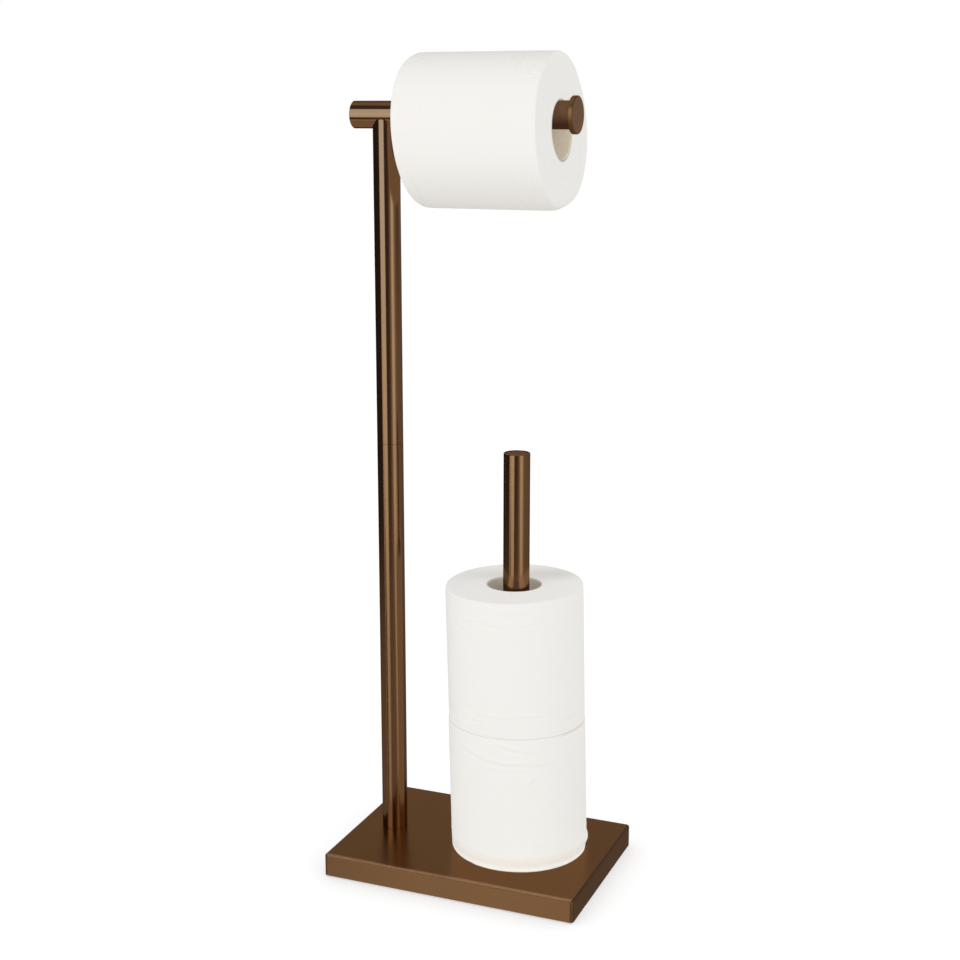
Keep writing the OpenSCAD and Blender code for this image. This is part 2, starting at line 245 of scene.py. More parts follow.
bronzeFinishes = [
    ("plateBronze", ["base_shell"],
     {"hairs": "y", "roughness": 0.25, "uneven": 0.03, "bumpDepth": 0.000006, "edgesAndPaintedLight": plateWearAndPaintedLight}),
    ("postBronze", ["lower_main_tube", "upper_main_tube", "spare_post_tube"],
     {"hairs": "z", "roughness": 0.16, "uneven": 0.025, "bumpDepth": 0.00001, "highlightAbout": "Z"}),
    ("armBronze", ["arm_tube"],
     {"hairs": "x", "roughness": 0.11, "uneven": 0.02, "bumpDepth": 0.00001, "highlightAbout": "X"}),
    ("turnedBronze", ["arm_back_stopper", "spare_top_stopper"],
     {"hairs": "xyz", "roughness": 0.32, "uneven": 0.05, "bumpDepth": 0.00001}),
    ("capBronze", ["arm_end_cap"],
     {"hairs": "yz", "roughness": 0.32, "uneven": 0.06, "bumpDepth": 0.00001, "edgesAndPaintedLight": capRimAndShade}),
]
for finishName, pieces, finish in bronzeFinishes:
    dress(pieces, brushedBronze(finishName, **finish))
for name in ("arm_tube", "arm_end_cap", "arm_end_plug", "spare_post_tube", "spare_top_stopper"):
    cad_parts[name].visible_diffuse = False      # takes no light from the paper round it
print("bronze on base, posts and arm")


# hidden hardware, cover and pads

hardwareSet = {
    "zinc": {"colour": (0.55, 0.56, 0.58), "stainAndGapShade": (0.40, 0.41, 0.43), "roughness": 0.32, "metallic": 1.0,
             "grain": 900, "depth": 0.00002},
    "castIron": {"colour": (0.055, 0.053, 0.052), "stainAndGapShade": (0.10, 0.075, 0.06), "roughness": 0.62,
                 "metallic": 0.6, "grain": 700, "depth": 0.00018},
    "coverBlack": {"colour": (0.022, 0.022, 0.023), "stainAndGapShade": (0.035, 0.034, 0.033), "roughness": 0.5,
                   "metallic": 0.0, "grain": 1500, "depth": 0.00003},
    "padFoam": {"colour": (0.03, 0.03, 0.031), "stainAndGapShade": (0.06, 0.06, 0.06), "roughness": 0.92,
                "metallic": 0.0, "grain": 2600, "depth": 0.0002},
}
hardwareStains = 45        # noise scale, the same on all of them


def hardwareFinish(name):
    s = hardwareSet[name]
    material, tree = newMaterial(name)
    grain = noise(tree, pieceCoords(tree), s["grain"], 3.0, 0.6)
    stains = noise(tree, pieceCoords(tree), hardwareStains, 4.0, 0.6, 0.5)
    colour = mixColour(tree, spread(tree, stains, 0.0, 0.9), rgba(s["colour"]), rgba(s["stainAndGapShade"]))
    rough = sums(tree, "ADD", spread(tree, stains, s["roughness"] - 0.07, s["roughness"] + 0.07),
                 spread(tree, grain, -0.05, 0.05), True)
    bump = addNode(tree, "ShaderNodeBump", {"Height": grain, "Strength": 0.5, "Distance": s["depth"]})
    shader = addNode(tree, "ShaderNodeBsdfPrincipled", {
        "Base Color": colour, "Metallic": s["metallic"], "Roughness": rough, "Normal": bump.outputs[0]})
    finishWith(tree, shader)
    return material


dress(["cover_screws", "post_washers", "post_bolts", "main_foot_insert", "lower_joint_insert", "joint_stud",
       "upper_joint_insert", "saddle_plug", "saddle_screw", "arm_nut_block", "arm_end_plug",
       "spare_foot_insert"], hardwareFinish("zinc"))
dress(["ballast_slab"], hardwareFinish("castIron"))
dress(["bottom_cover"], hardwareFinish("coverBlack"))
dress(["floor_pads"], hardwareFinish("padFoam"))
print("hardware, cover and pads finished")


# painted reflection: the rolls as the metal mirrors them, much dimmer than they look, so their materials
# glow in set tones for glossy rays

inMetalSet = {
    "skin": (0.34, 0.265, 0.225),
    "topDark": (0.15, 0.115, 0.10),
    "topStripe": (0.58, 0.45, 0.34),
    "topBrown": (0.37, 0.31, 0.28),
    "stripes": ((-2.35, -2.2, -1.68, -1.55), (-0.95, -0.80, -0.18, 0.0)),    # start, full, fade, end
    "brown": (-0.18, 0.0, 1.6, 2.0),
    "brownFrom": (0.041, 0.045),          # it fills the outer ring too
    "postFrom": (0.0025, -0.006),         # the post's axis, from the upper roll's
    "spareBore": ((0.075, 0.055, 0.05), (0.075, 0.055, 0.05)),
    "armBore": ((0.30, 0.25, 0.24), (0.11, 0.083, 0.080)),    # the upper side, the lower side
    "armSplit": 0.02,                     # from the one to the other, either side of the middle
}


def spareTopInMetal(tree, x, y, radius):
    # painted reflection on a spare roll's top, where the post's stripes run on down to the core; turns are
    # about the post
    s = inMetalSet
    turn = sums(tree, "ARCTAN2", sums(tree, "SUBTRACT", y, s["postFrom"][1]),
                sums(tree, "SUBTRACT", x, s["postFrom"][0]))
    tone = rgba(s["topDark"])
    for start, full, fade, end in s["stripes"]:
        stripe = sums(tree, "MULTIPLY", band(tree, turn, start, full), band(tree, turn, end, fade))
        tone = mixColour(tree, stripe, tone, rgba(s["topStripe"]))
    start, full, fade, end = s["brown"]
    right = sums(tree, "MULTIPLY", band(tree, turn, start, full), band(tree, turn, end, fade))
    right = sums(tree, "MAXIMUM", right, band(tree, radius, *s["brownFrom"]))
    return mixColour(tree, right, tone, rgba(s["topBrown"]))


def dimInMetal(tree, colour, ownLight, tone):
    # painted reflection: glossy rays see no lit surface here, only the tone, which glows
    glossy = addNode(tree, "ShaderNodeLightPath").outputs["Is Glossy Ray"]
    return {"Base Color": mixColour(tree, glossy, colour, black),
            "Emission Color": mixColour(tree, glossy, ownLight, tone), "Emission Strength": 1.0}


# cardboard cores

coreSet = {
    "card": (0.72, 0.64, 0.52),
    "fleck": (0.50, 0.42, 0.31),
    "pale": (0.80, 0.74, 0.63),
    "stripWidth": 0.058,   # the strip that it is wound from
    "seamWidth": 0.0007,
    "seamShade": 0.35,
    # lighter within 2.2 mm of each end, fully so in the last 0.8 mm
    "lighterEnd": (0.90, 0.86, 0.78),
    "lighterEndWidth": (0.0022, 0.0008),
    "seepLight": 0.07,     # painted light: the arm roll's core glows at this share of its colour, as if light came in through the windings
    "innerShade": 0.17,    # the spare rolls' cores, round the post
    "endFace": (0.42, 0.375, 0.31),
    "roughness": 0.88,
    "fibreScale": 900,
    "fleckScale": 2200,
    "blotchScale": 60,
    "bumpDepth": 0.0001,
}


def cardboard(name, axis, centre, half):
    s = coreSet
    material, tree = newMaterial(name)
    source = addNode(tree, "ShaderNodeTexCoord")
    shifted = addNode(tree, "ShaderNodeVectorMath", {0: source.outputs["Object"], 1: centre},
                      operation="SUBTRACT")
    point = addNode(tree, "ShaderNodeSeparateXYZ", {0: shifted.outputs[0]})
    order = {"z": (0, 1, 2), "x": (1, 2, 0)}[axis]
    across, up, along = (point.outputs[index] for index in order)
    around = sums(tree, "DIVIDE", sums(tree, "ARCTAN2", up, across), 2 * math.pi)
    run = sums(tree, "SUBTRACT", sums(tree, "DIVIDE", along, s["stripWidth"]), around)
    phase = sums(tree, "ABSOLUTE", sums(tree, "SUBTRACT", sums(tree, "FRACT", run), 0.5))
    seam = band(tree, phase, 0.5 - s["seamWidth"] / s["stripWidth"], 0.5)
    fibres = noise(tree, pieceCoords(tree), s["fibreScale"], 4.0, 0.65)
    flecks = noise(tree, pieceCoords(tree), s["fleckScale"], 2.0)
    blotches = noise(tree, pieceCoords(tree), s["blotchScale"], 3.0)
    colour = mixColour(tree, spread(tree, fibres, -0.2, 0.9), rgba(s["card"]), rgba(s["pale"]))
    colour = mixColour(tree, band(tree, flecks, 0.6, 0.72), colour, rgba(s["fleck"]))
    colour = mixColour(tree, sums(tree, "MULTIPLY", seam, s["seamShade"]), colour, rgba(s["fleck"]))
    lighterStart, lighterFull = (half - width for width in s["lighterEndWidth"])
    colour = mixColour(tree, band(tree, sums(tree, "ABSOLUTE", along), lighterStart, lighterFull), colour,
                       rgba(s["lighterEnd"]))
    height = sums(tree, "SUBTRACT", sums(tree, "ADD", fibres, sums(tree, "MULTIPLY", blotches, 0.6)),
                  sums(tree, "MULTIPLY", seam, 2.0))
    bump = addNode(tree, "ShaderNodeBump", {"Height": height, "Strength": 0.4, "Distance": s["bumpDepth"]})
    rough = spread(tree, fibres, s["roughness"] - 0.06, s["roughness"] + 0.06)
    if axis == "z":
        colour = mixColour(tree, s["innerShade"], colour, black)
    else:
        onEnd = band(tree, sums(tree, "ABSOLUTE", facing(tree)[0]), 0.5, 0.9)
        colour = mixColour(tree, onEnd, colour, rgba(s["endFace"]))
    upper, lower = inMetalSet["armBore" if axis == "x" else "spareBore"]
    below = band(tree, point.outputs[2], inMetalSet["armSplit"], -inMetalSet["armSplit"])
    tone = mixColour(tree, below, rgba(upper), rgba(lower))
    # painted light: the arm roll's core glows faintly, the spare cores not at all
    seep = mixColour(tree, 1.0 - s["seepLight"] if axis == "x" else 1.0, colour, black)
    shader = addNode(tree, "ShaderNodeBsdfPrincipled", dict(
        dimInMetal(tree, colour, seep, tone),
        **{"Roughness": rough, "Normal": bump.outputs[0], "Specular IOR Level": 0.25}))
    finishWith(tree, shader)
    material.cycles.emission_sampling = "NONE"
    return material


for rollName, axis in (("arm_roll", "x"), ("lower_roll", "z"), ("upper_roll", "z")):
    low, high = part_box(rollName + "_core")
    half = ((high - low) / 2)["xyz".index(axis)]
    dress([rollName + "_core"], cardboard(rollName + "Card", axis, (low + high) / 2, half))
print("cores in cardboard")


# toilet paper

paperSet = {
    "colour": (0.90, 0.884, 0.848),
    "shade": (0.86, 0.840, 0.797),
    "grey": (0.74, 0.728, 0.70),       # painted shade over the arm roll's top
    "greyStep": 0.01,
    "greyRise": (-0.1, 1.1),           # it comes on from the last sheet's edge, and fades out over the back
    "greyBack": (-1.9, -3.14, 0.84),
    "paintedHighlight": (0.93, 0.92, 0.895),     # painted highlight on that edge itself
    "edgeLine": (0.026, 0.004, 0.6),
    "tan": (0.78, 0.745, 0.69),        # painted warm shade on the arm roll's lower side
    "tanSide": (0.012, 0.054),
    "cream": (0.865, 0.80, 0.72),      # painted warm shade over the lowest roll's foot
    "creamHeights": (0.0125, 0.004, 0.0010, 0.0075),
    # painted highlight along the lowest roll's bottom edge
    "litEdge": (0.98, 0.945, 0.885),
    "litHeights": (0.0052, 0.0022),
    # painted shade in gaps: between the spare rolls, and round the arm roll's core
    "stainAndGapShade": (0.62, 0.50, 0.36),
    "seamReach": (0.0012, 0.0003),     # either side of the gap between the spare rolls
    "gapRing": (0.0008, 0.0003),       # past the arm roll's bore
    "gapBelow": (0.014, 0.019),
    "gapShare": 0.7,
    "backShadeAt": (0.015, 0.024),     # right of the core and behind it, as the photo looks
    "backShadeSize": (0.050, 0.014),
    "backShadeSlant": (0.926, 0.378),  # cosine and sine of its turn about the roll's axis
    "roughness": 0.93,
    "crepeFine": 1500,     # crepe ridges per metre along the roll's circumference
    "fibreScale": 1900,
    "layerPitch": 0.00045,  # wound layers seen on the ends
    "layerUneven": 90,     # noise scale
    "cloudScale": 55,
    "spotPitch": 0.0021,   # rows of pressed dots that hold the plies together
    "spotHeight": (0.0004, 0.0009),
    "spotWidth": (0.12, 0.3),    # shares of the pitch
    "bumpDepth": 0.00007,
}


def pressedDots(tree, at, rowPlaces):
    # rows of small pressed dots along both edges of the sheet
    s = paperSet
    dots = 0.0
    for place in rowPlaces:
        rowAway = sums(tree, "ABSOLUTE", sums(tree, "SUBTRACT", at["z"], place))
        row = sums(tree, "SUBTRACT", 1.0, band(tree, rowAway, *s["spotHeight"]))
        beat = sums(tree, "FRACT", sums(tree, "DIVIDE", at["around"], s["spotPitch"]))
        beat = sums(tree, "ABSOLUTE", sums(tree, "SUBTRACT", beat, 0.5))
        spot = sums(tree, "MULTIPLY", row, sums(tree, "SUBTRACT", 1.0, band(tree, beat, *s["spotWidth"])))
        dots = sums(tree, "ADD", dots, spot)
    return sums(tree, "MULTIPLY", dots, at["onSide"])


def woundLayers(tree, at):
    # the layers seen on the ends: a spiral with uneven pitch
    s = paperSet
    uneven = sums(tree, "MULTIPLY", noise(tree, at["coords"], s["layerUneven"], 3.0), 0.9)
    turns = sums(tree, "ADD", sums(tree, "DIVIDE", at["radius"], s["layerPitch"]), uneven)
    spiral = sums(tree, "SUBTRACT", turns, sums(tree, "DIVIDE", at["angle"], 2 * math.pi))
    wave = sums(tree, "SINE", sums(tree, "MULTIPLY", spiral, 2 * math.pi))
    return sums(tree, "MULTIPLY", wave, at["onEnd"])


def paintedShadeTop(tree, colour, at, roll):
    # painted shade on the arm roll's upper side past the last sheet's edge, and a painted highlight on that
    # edge itself
    s = paperSet
    turned = sums(tree, "MULTIPLY", at["angle"], -1.0)
    step = band(tree, turned, -roll["edgeTurn"] - s["greyStep"], -roll["edgeTurn"] + s["greyStep"])
    rise = band(tree, turned, *[more - roll["edgeTurn"] for more in s["greyRise"]])
    past = sums(tree, "MULTIPLY", rise, step)
    fadeEnd, fadeStart, share = s["greyBack"]
    beyond = sums(tree, "MULTIPLY", band(tree, turned, fadeEnd, fadeStart), share)
    past = sums(tree, "MULTIPLY", sums(tree, "MAXIMUM", past, beyond), at["onSide"])
    past = sums(tree, "MULTIPLY", past, roll["paintedShadeTop"], True)
    colour = mixColour(tree, past, colour, rgba(s["grey"]))
    nearEdge = sums(tree, "ABSOLUTE", sums(tree, "ADD", turned, roll["edgeTurn"]))
    outside, inside, share = s["edgeLine"]
    line = sums(tree, "MULTIPLY", band(tree, nearEdge, outside, inside), at["onSide"])
    return mixColour(tree, sums(tree, "MULTIPLY", line, share), colour, rgba(s["paintedHighlight"]))


def shadeAndLightBelow(tree, colour, at, roll):
    # painted shade: the side that faces down is darker and warmer; the lowest roll also gets a painted
    # highlight along its bottom edge
    s = paperSet
    if roll["axis"] == "x":
        foot = sums(tree, "MULTIPLY", band(tree, at["x"], *s["tanSide"]), at["onSide"])
        return mixColour(tree, sums(tree, "MULTIPLY", foot, roll["shadeAndLightBelow"]), colour, rgba(s["tan"]))
    high, full, floorUp, fullUp = s["creamHeights"]
    foot = sums(tree, "MULTIPLY", band(tree, at["z"], high, full), band(tree, at["z"], floorUp, fullUp))
    colour = mixColour(tree, sums(tree, "MULTIPLY", foot, roll["shadeAndLightBelow"]), colour, rgba(s["cream"]))
    lowest = sums(tree, "MULTIPLY", band(tree, at["z"], *s["litHeights"]), at["onSide"])
    return mixColour(tree, lowest, colour, rgba(s["litEdge"]))


def rollSeamShade(tree, colour, at, roll):
    # painted shade: a warm, darker line in the gap between the two spare rolls
    s = paperSet
    end, place, halfWidth, share = roll["rollSeamShade"]
    away = sums(tree, "ABSOLUTE", sums(tree, "SUBTRACT", at["angle"], place))
    near = sums(tree, "ABSOLUTE", sums(tree, "SUBTRACT", at["z"], end * roll["length"]))
    stainAndGapShade = sums(tree, "MULTIPLY", band(tree, away, halfWidth, 0.5 * halfWidth),
                 band(tree, near, *s["seamReach"]))
    return mixColour(tree, sums(tree, "MULTIPLY", stainAndGapShade, share), colour, rgba(s["stainAndGapShade"]))


def backShade(tree, colour, at, roll):
    # the post and the arm roll keep light off this end
    s = paperSet
    x, y = at["x"], at["y"]
    cosine, sine = s["backShadeSlant"]
    right = sums(tree, "ADD", sums(tree, "MULTIPLY", x, cosine), sums(tree, "MULTIPLY", y, sine))
    back = sums(tree, "SUBTRACT", sums(tree, "MULTIPLY", y, cosine), sums(tree, "MULTIPLY", x, sine))
    offs = [sums(tree, "POWER", sums(tree, "DIVIDE", sums(tree, "SUBTRACT", way, middle), size), 2.0)
            for way, middle, size in zip((right, back), s["backShadeAt"], s["backShadeSize"])]
    shade = sums(tree, "EXPONENT", sums(tree, "MULTIPLY", sums(tree, "ADD", *offs), -1.0))
    shade = sums(tree, "MULTIPLY", sums(tree, "MULTIPLY", shade, at["onEnd"]), roll["backShade"])
    return mixColour(tree, shade, colour, black)


def coreGapShade(tree, colour, at, roll):
    # painted shade in the gap round the core, where the windings hang on it
    s = paperSet
    ring = band(tree, at["radius"], *[roll["bore"] + more for more in s["gapRing"]])
    gap = sums(tree, "MULTIPLY", ring, at["onEnd"])
    gap = sums(tree, "MULTIPLY", gap, band(tree, at["x"], *s["gapBelow"]))
    return mixColour(tree, sums(tree, "MULTIPLY", gap, s["gapShare"]), colour, rgba(s["stainAndGapShade"]))


def paperInMetal(tree, at, roll):
    # painted reflection: the tone in which the metal mirrors the skin and the ends
    if roll["axis"] == "x":
        upper, lower = inMetalSet["armBore"]
        split = inMetalSet["armSplit"]
        endTone = mixColour(tree, band(tree, at["x"], -split, split), rgba(upper), rgba(lower))
        half = band(tree, at["z"], 0.4 * roll["length"], 0.6 * roll["length"])
        end = sums(tree, "MULTIPLY", at["onEnd"], half)
    else:
        endTone, end = spareTopInMetal(tree, at["x"], at["y"], at["radius"]), at["onEnd"]
    return mixColour(tree, end, rgba(inMetalSet["skin"]), endTone)


def tissue(name, rowPlaces, roll):
    # the roll's own frame: axis along z, its lower end at z = 0
    s = paperSet
    material, tree = newMaterial(name)
    coords = addNode(tree, "ShaderNodeTexCoord").outputs["Object"]
    x, y, z = addNode(tree, "ShaderNodeSeparateXYZ", {0: coords}).outputs
    squares = sums(tree, "ADD", sums(tree, "MULTIPLY", x, x), sums(tree, "MULTIPLY", y, y))
    radius, angle = sums(tree, "SQRT", squares), sums(tree, "ARCTAN2", y, x)
    around = sums(tree, "MULTIPLY", angle, radius)
    onEnd = band(tree, sums(tree, "ABSOLUTE", facing(tree)[2]), 0.55, 0.85)
    onSide = sums(tree, "SUBTRACT", 1.0, onEnd)
    at = {"coords": coords, "x": x, "y": y, "z": z, "radius": radius, "angle": angle, "around": around,
          "onEnd": onEnd, "onSide": onSide}

    # crepe runs along the roll's axis, fibres lie anyhow
    sheet = addNode(tree, "ShaderNodeCombineXYZ", {0: sums(tree, "MULTIPLY", around, s["crepeFine"]),
                                                   1: sums(tree, "MULTIPLY", z, s["crepeFine"] / 5)})
    crepe = noise(tree, sheet.outputs[0], 1.0, 2.0, 0.5)
    fibres = noise(tree, coords, s["fibreScale"], 3.0, 0.65)
    clouds = noise(tree, coords, s["cloudScale"], 4.0, 0.6)
    dots, layers = pressedDots(tree, at, rowPlaces), woundLayers(tree, at)

    height = sums(tree, "ADD", sums(tree, "MULTIPLY", crepe, onSide), sums(tree, "MULTIPLY", fibres, 0.8))
    height = sums(tree, "SUBTRACT", height, sums(tree, "MULTIPLY", dots, 0.8))
    height = sums(tree, "ADD", height, sums(tree, "MULTIPLY", layers, 0.35))
    bump = addNode(tree, "ShaderNodeBump", {"Height": height, "Strength": 0.55, "Distance": s["bumpDepth"]})
    shadeShare = sums(tree, "ADD", spread(tree, clouds, 0.0, 0.35), sums(tree, "MULTIPLY", dots, 0.06))
    layerShade = sums(tree, "MULTIPLY", onEnd, spread(tree, layers, 0.0, 0.1))
    shadeShare = sums(tree, "ADD", shadeShare, layerShade, True)
    colour = mixColour(tree, shadeShare, rgba(s["colour"]), rgba(s["shade"]))
    paints = {"paintedShadeTop": paintedShadeTop, "shadeAndLightBelow": shadeAndLightBelow, "rollSeamShade": rollSeamShade, "backShade": backShade}
    for kind, paint in paints.items():
        if roll[kind]:
            colour = paint(tree, colour, at, roll)
    if roll["axis"] == "x":
        colour = coreGapShade(tree, colour, at, roll)
    rough = spread(tree, fibres, s["roughness"] - 0.05, s["roughness"] + 0.05)
    shader = addNode(tree, "ShaderNodeBsdfPrincipled", dict(
        dimInMetal(tree, colour, black, paperInMetal(tree, at, roll)),
        **{"Roughness": rough, "Normal": bump.outputs[0], "Specular IOR Level": 0.15,
           "Sheen Weight": 0.12, "Sheen Roughness": 0.6}))
    finishWith(tree, shader)
    material.cycles.emission_sampling = "NONE"
    return material


def softWaves(around, along, seed, count, size):
    # slow waves over the paper, closed round the roll
    draw = np.random.default_rng(seed)
    total = np.zeros(np.broadcast(around, along).shape)
    for index in range(count):
        beat = 1 + index % 6
        total += draw.uniform(0.4, 1.0) / beat * np.cos(
            beat * around + draw.uniform(0, 2 * math.pi) + draw.uniform(-22, 22) * along)
    return size * total / count ** 0.5


def folds(around, along, radius, rows):
    # a fold is a soft ridge with a groove below it: turn, place, slope, half length, half width, height
    total = np.zeros(np.broadcast(around, along).shape)
    for turn, place, slope, halfLength, halfWidth, height in rows:
        across = radius * ((around - turn + math.pi) % (2 * math.pi) - math.pi)
        up = along - place
        down = across * math.cos(slope) + up * math.sin(slope)
        side = up * math.cos(slope) - across * math.sin(slope)
        side = side - 0.1 * down * down / halfLength
        total += height * np.exp(-(down / halfLength) ** 4) * (
            np.exp(-(side / halfWidth) ** 2) - 0.7 * np.exp(-((side + 1.8 * halfWidth) / halfWidth) ** 2))
    return total


def scatterFolds(s):  # long soft folds that follow the ends
    draw = np.random.default_rng(s["seed"])
    rows = list(s["ownFolds"])
    for index in range(s["foldCount"]):
        inward = draw.uniform(*s["foldPlaces"])
        place = draw.choice((inward, s["length"] - inward))
        rows.append((draw.uniform(0, 2 * math.pi), place, draw.normal(0, s["foldSlope"]),
                     draw.uniform(*s["foldLengths"]), draw.uniform(*s["foldWidths"]),
                     s["foldHeight"] * draw.uniform(-0.6, 1.0)))
    return rows


def shoulders(turn, s):  # how far each rim is rounded, with softer places: end, turn, half width, extra
    rims = [np.full(turn.shape, rim) for rim in s["shoulder"]]
    for end, place, halfWidth, extra in s["softRims"]:
        away = (turn - place + math.pi) % (2 * math.pi) - math.pi
        rims[end] += extra * np.exp(-(away / halfWidth) ** 2)
    return rims


def ringFaces(count, n):
    # four-sided faces between neighbouring rings of n points, the last ring joined to the first
    ids = np.arange(count * n).reshape(count, n)
    nextRow, nextTurn = np.roll(ids, -1, 0), np.roll(ids, -1, 1)
    return np.stack([ids, nextTurn, np.roll(nextRow, -1, 1), nextRow], -1).reshape(-1, 4)


def outerSkin(turn, along, s, foldRows):
    # radius of the outer skin at this height, for every turn
    outer, reach = s["outer"], s["endDrawReach"]
    away = np.minimum(along, s["length"] - along)
    radius = outer - s["relief"] - s["endDraw"] * np.exp(-away / reach)
    edge = s["edgeTurn"] + s["edgeWander"] * (np.sin(61 * along) + 0.5 * np.sin(197 * along))
    since = (turn - edge) % (2 * math.pi)
    radius = radius - s["sheet"] * (since / (2 * math.pi) - 0.5)     # the last sheet ends in a step
    radius += s["edgeLift"] * np.exp(-since * outer / s["edgeLiftReach"])
    radius += softWaves(turn, along, s["seed"] + 7, 16, s["waves"])
    for inward, height, halfWidth in s["bands"]:
        slow, quick = np.sin(3 * turn + 90 * inward + s["seed"]), np.sin(8 * turn + s["seed"])
        fade = 0.5 + 0.3 * slow + 0.3 * quick
        wide, small = s["bandShift"]
        shift = wide * np.sin(5 * turn + s["seed"]) + small * np.sin(13 * turn)
        radius += height * fade * np.exp(-((away - inward - shift) / halfWidth) ** 2)
    radius += folds(turn, along, outer, foldRows)
    return np.minimum(radius, outer + s["over"])


def woundEnd(turn, s, draw, start, sign, flat):
    # an end's rings from the skin to the bore, where each winding dips a little
    rings = []
    for k in range(1, s["faceSteps"] + 1):
        share = k / s["faceSteps"]
        dip = s["faceDip"] * (0.35 * draw.uniform(0, 1) + 0.65 * (0.5 + 0.5 * np.sin(
            2 * turn * (1 + k % 2) + draw.uniform(0, 6))) * draw.uniform(0.2, 1.0))
        dip = dip * min(1.0, 6 * share) * min(1.0, 5 * (1 - share) + 0.2)
        rings.append((start + (s["bore"] - start) * share, flat - sign * dip))
    return rings


def rollRings(turn, s):
    # once round the roll's section, each ring as radius and height for every turn
    length, steps, boreSteps = s["length"], s["shoulderSteps"], s["boreSteps"]
    foldRows = scatterFolds(s)
    low, high = shoulders(turn, s)
    lowSkin, highSkin = outerSkin(turn, low, s, foldRows), outerSkin(turn, length - high, s, foldRows)
    rings = []
    for k in range(steps):                                          # lower shoulder, outwards and up
        angle = math.pi / 2 * k / steps
        rings.append((lowSkin - low * (1 - math.sin(angle)), low * (1 - math.cos(angle))))
    for k in range(s["stepsAlong"] + 1):
        along = low + (length - low - high) * k / s["stepsAlong"]
        rings.append((outerSkin(turn, along, s, foldRows), along))
    for k in range(1, steps + 1):                                   # upper shoulder, inwards
        angle = math.pi / 2 * k / steps
        rings.append((highSkin - high * (1 - math.cos(angle)), length - high + high * math.sin(angle)))
    draw = np.random.default_rng(s["seed"] + 3)
    rings += woundEnd(turn, s, draw, highSkin - high, 1, length)
    for k in range(1, boreSteps):
        rings.append((np.full(turn.shape, s["bore"]), length * (1 - k / boreSteps)))
    rings += woundEnd(turn, s, draw, lowSkin - low, -1, 0.0)[::-1]
    return rings


def windRoll(name, s):
    # a closed mesh in the roll's own frame: outer skin, two wound ends and the bore
    n = s["stepsRound"]
    turn = np.arange(n) * 2 * math.pi / n
    rings = rollRings(turn, s)
    points = np.zeros((len(rings), n, 3))
    for index, (radius, along) in enumerate(rings):
        points[index, :, 0] = radius * np.cos(turn)
        points[index, :, 1] = radius * np.sin(turn)
        points[index, :, 2] = along
    slide(points, s)
    faces = ringFaces(len(rings), n)
    mesh = bpy.data.meshes.new(name)
    mesh.from_pydata(points.reshape(-1, 3).tolist(), [], faces.tolist())
    mesh.polygons.foreach_set("use_smooth", np.ones(len(faces), bool))
    mesh.update()
    piece = bpy.data.objects.new(name, mesh)
    bpy.context.scene.collection.objects.link(piece)
    return piece


def slide(points, s):
    # the windings have slid: the arm roll's along its own axis, a spare roll's to the side
    share = points[:, :, 2] / s["length"]
    radius, turn = np.hypot(points[:, :, 0], points[:, :, 1]), np.arctan2(points[:, :, 1], points[:, :, 0])
    out = np.clip((radius - s["bore"]) / (s["outer"] - s["bore"]), 0, 1)     # 0 at the bore, 1 at the skin
    points[:, :, 0] += out * s["eccentric"][0]
    points[:, :, 1] += out * s["eccentric"][1]
    for near, (level, swing, place) in zip((1 - share, share.copy()), s["lifts"]):
        points[:, :, 2] += out * np.clip(near, 0, 1) ** 6 * (level + swing * np.cos(turn - place))
    if s["axis"] == "x":
        points[:, :, 2] += points[:, :, 0] * (s["lean"] + s["leanMore"] * (0.5 - share))
    else:
        points[:, :, 0] -= s["lean"] * s["length"] * (share - 0.5)


def makeRoll(name, node, body, s):
    low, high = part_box(node)
    size, middle = high - low, (low + high) / 2
    if s["axis"] == "x":
        s["outer"] = size.z / 2
        s["length"] = size.x - s["solidLean"] * size.z
        place = (middle.x - s["length"] / 2, middle.y, middle.z)
    else:
        s["outer"] = size.y / 2
        s["length"] = size.z
        place = (middle.x, middle.y, low.z)
    piece = windRoll(name, s)
    piece.location = place
    if s["axis"] == "x":
        piece.rotation_euler = (0, math.pi / 2, 0)   # the roll's z looks along the arm
    rows = [s["rowInset"], s["rowInset"] + s["rowGap"]]
    rows += [s["length"] - row for row in rows]
    piece.data.materials.append(tissue(name + "Tissue", rows, s))
    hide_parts(node)
    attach(piece, body)
    print("wound", name)


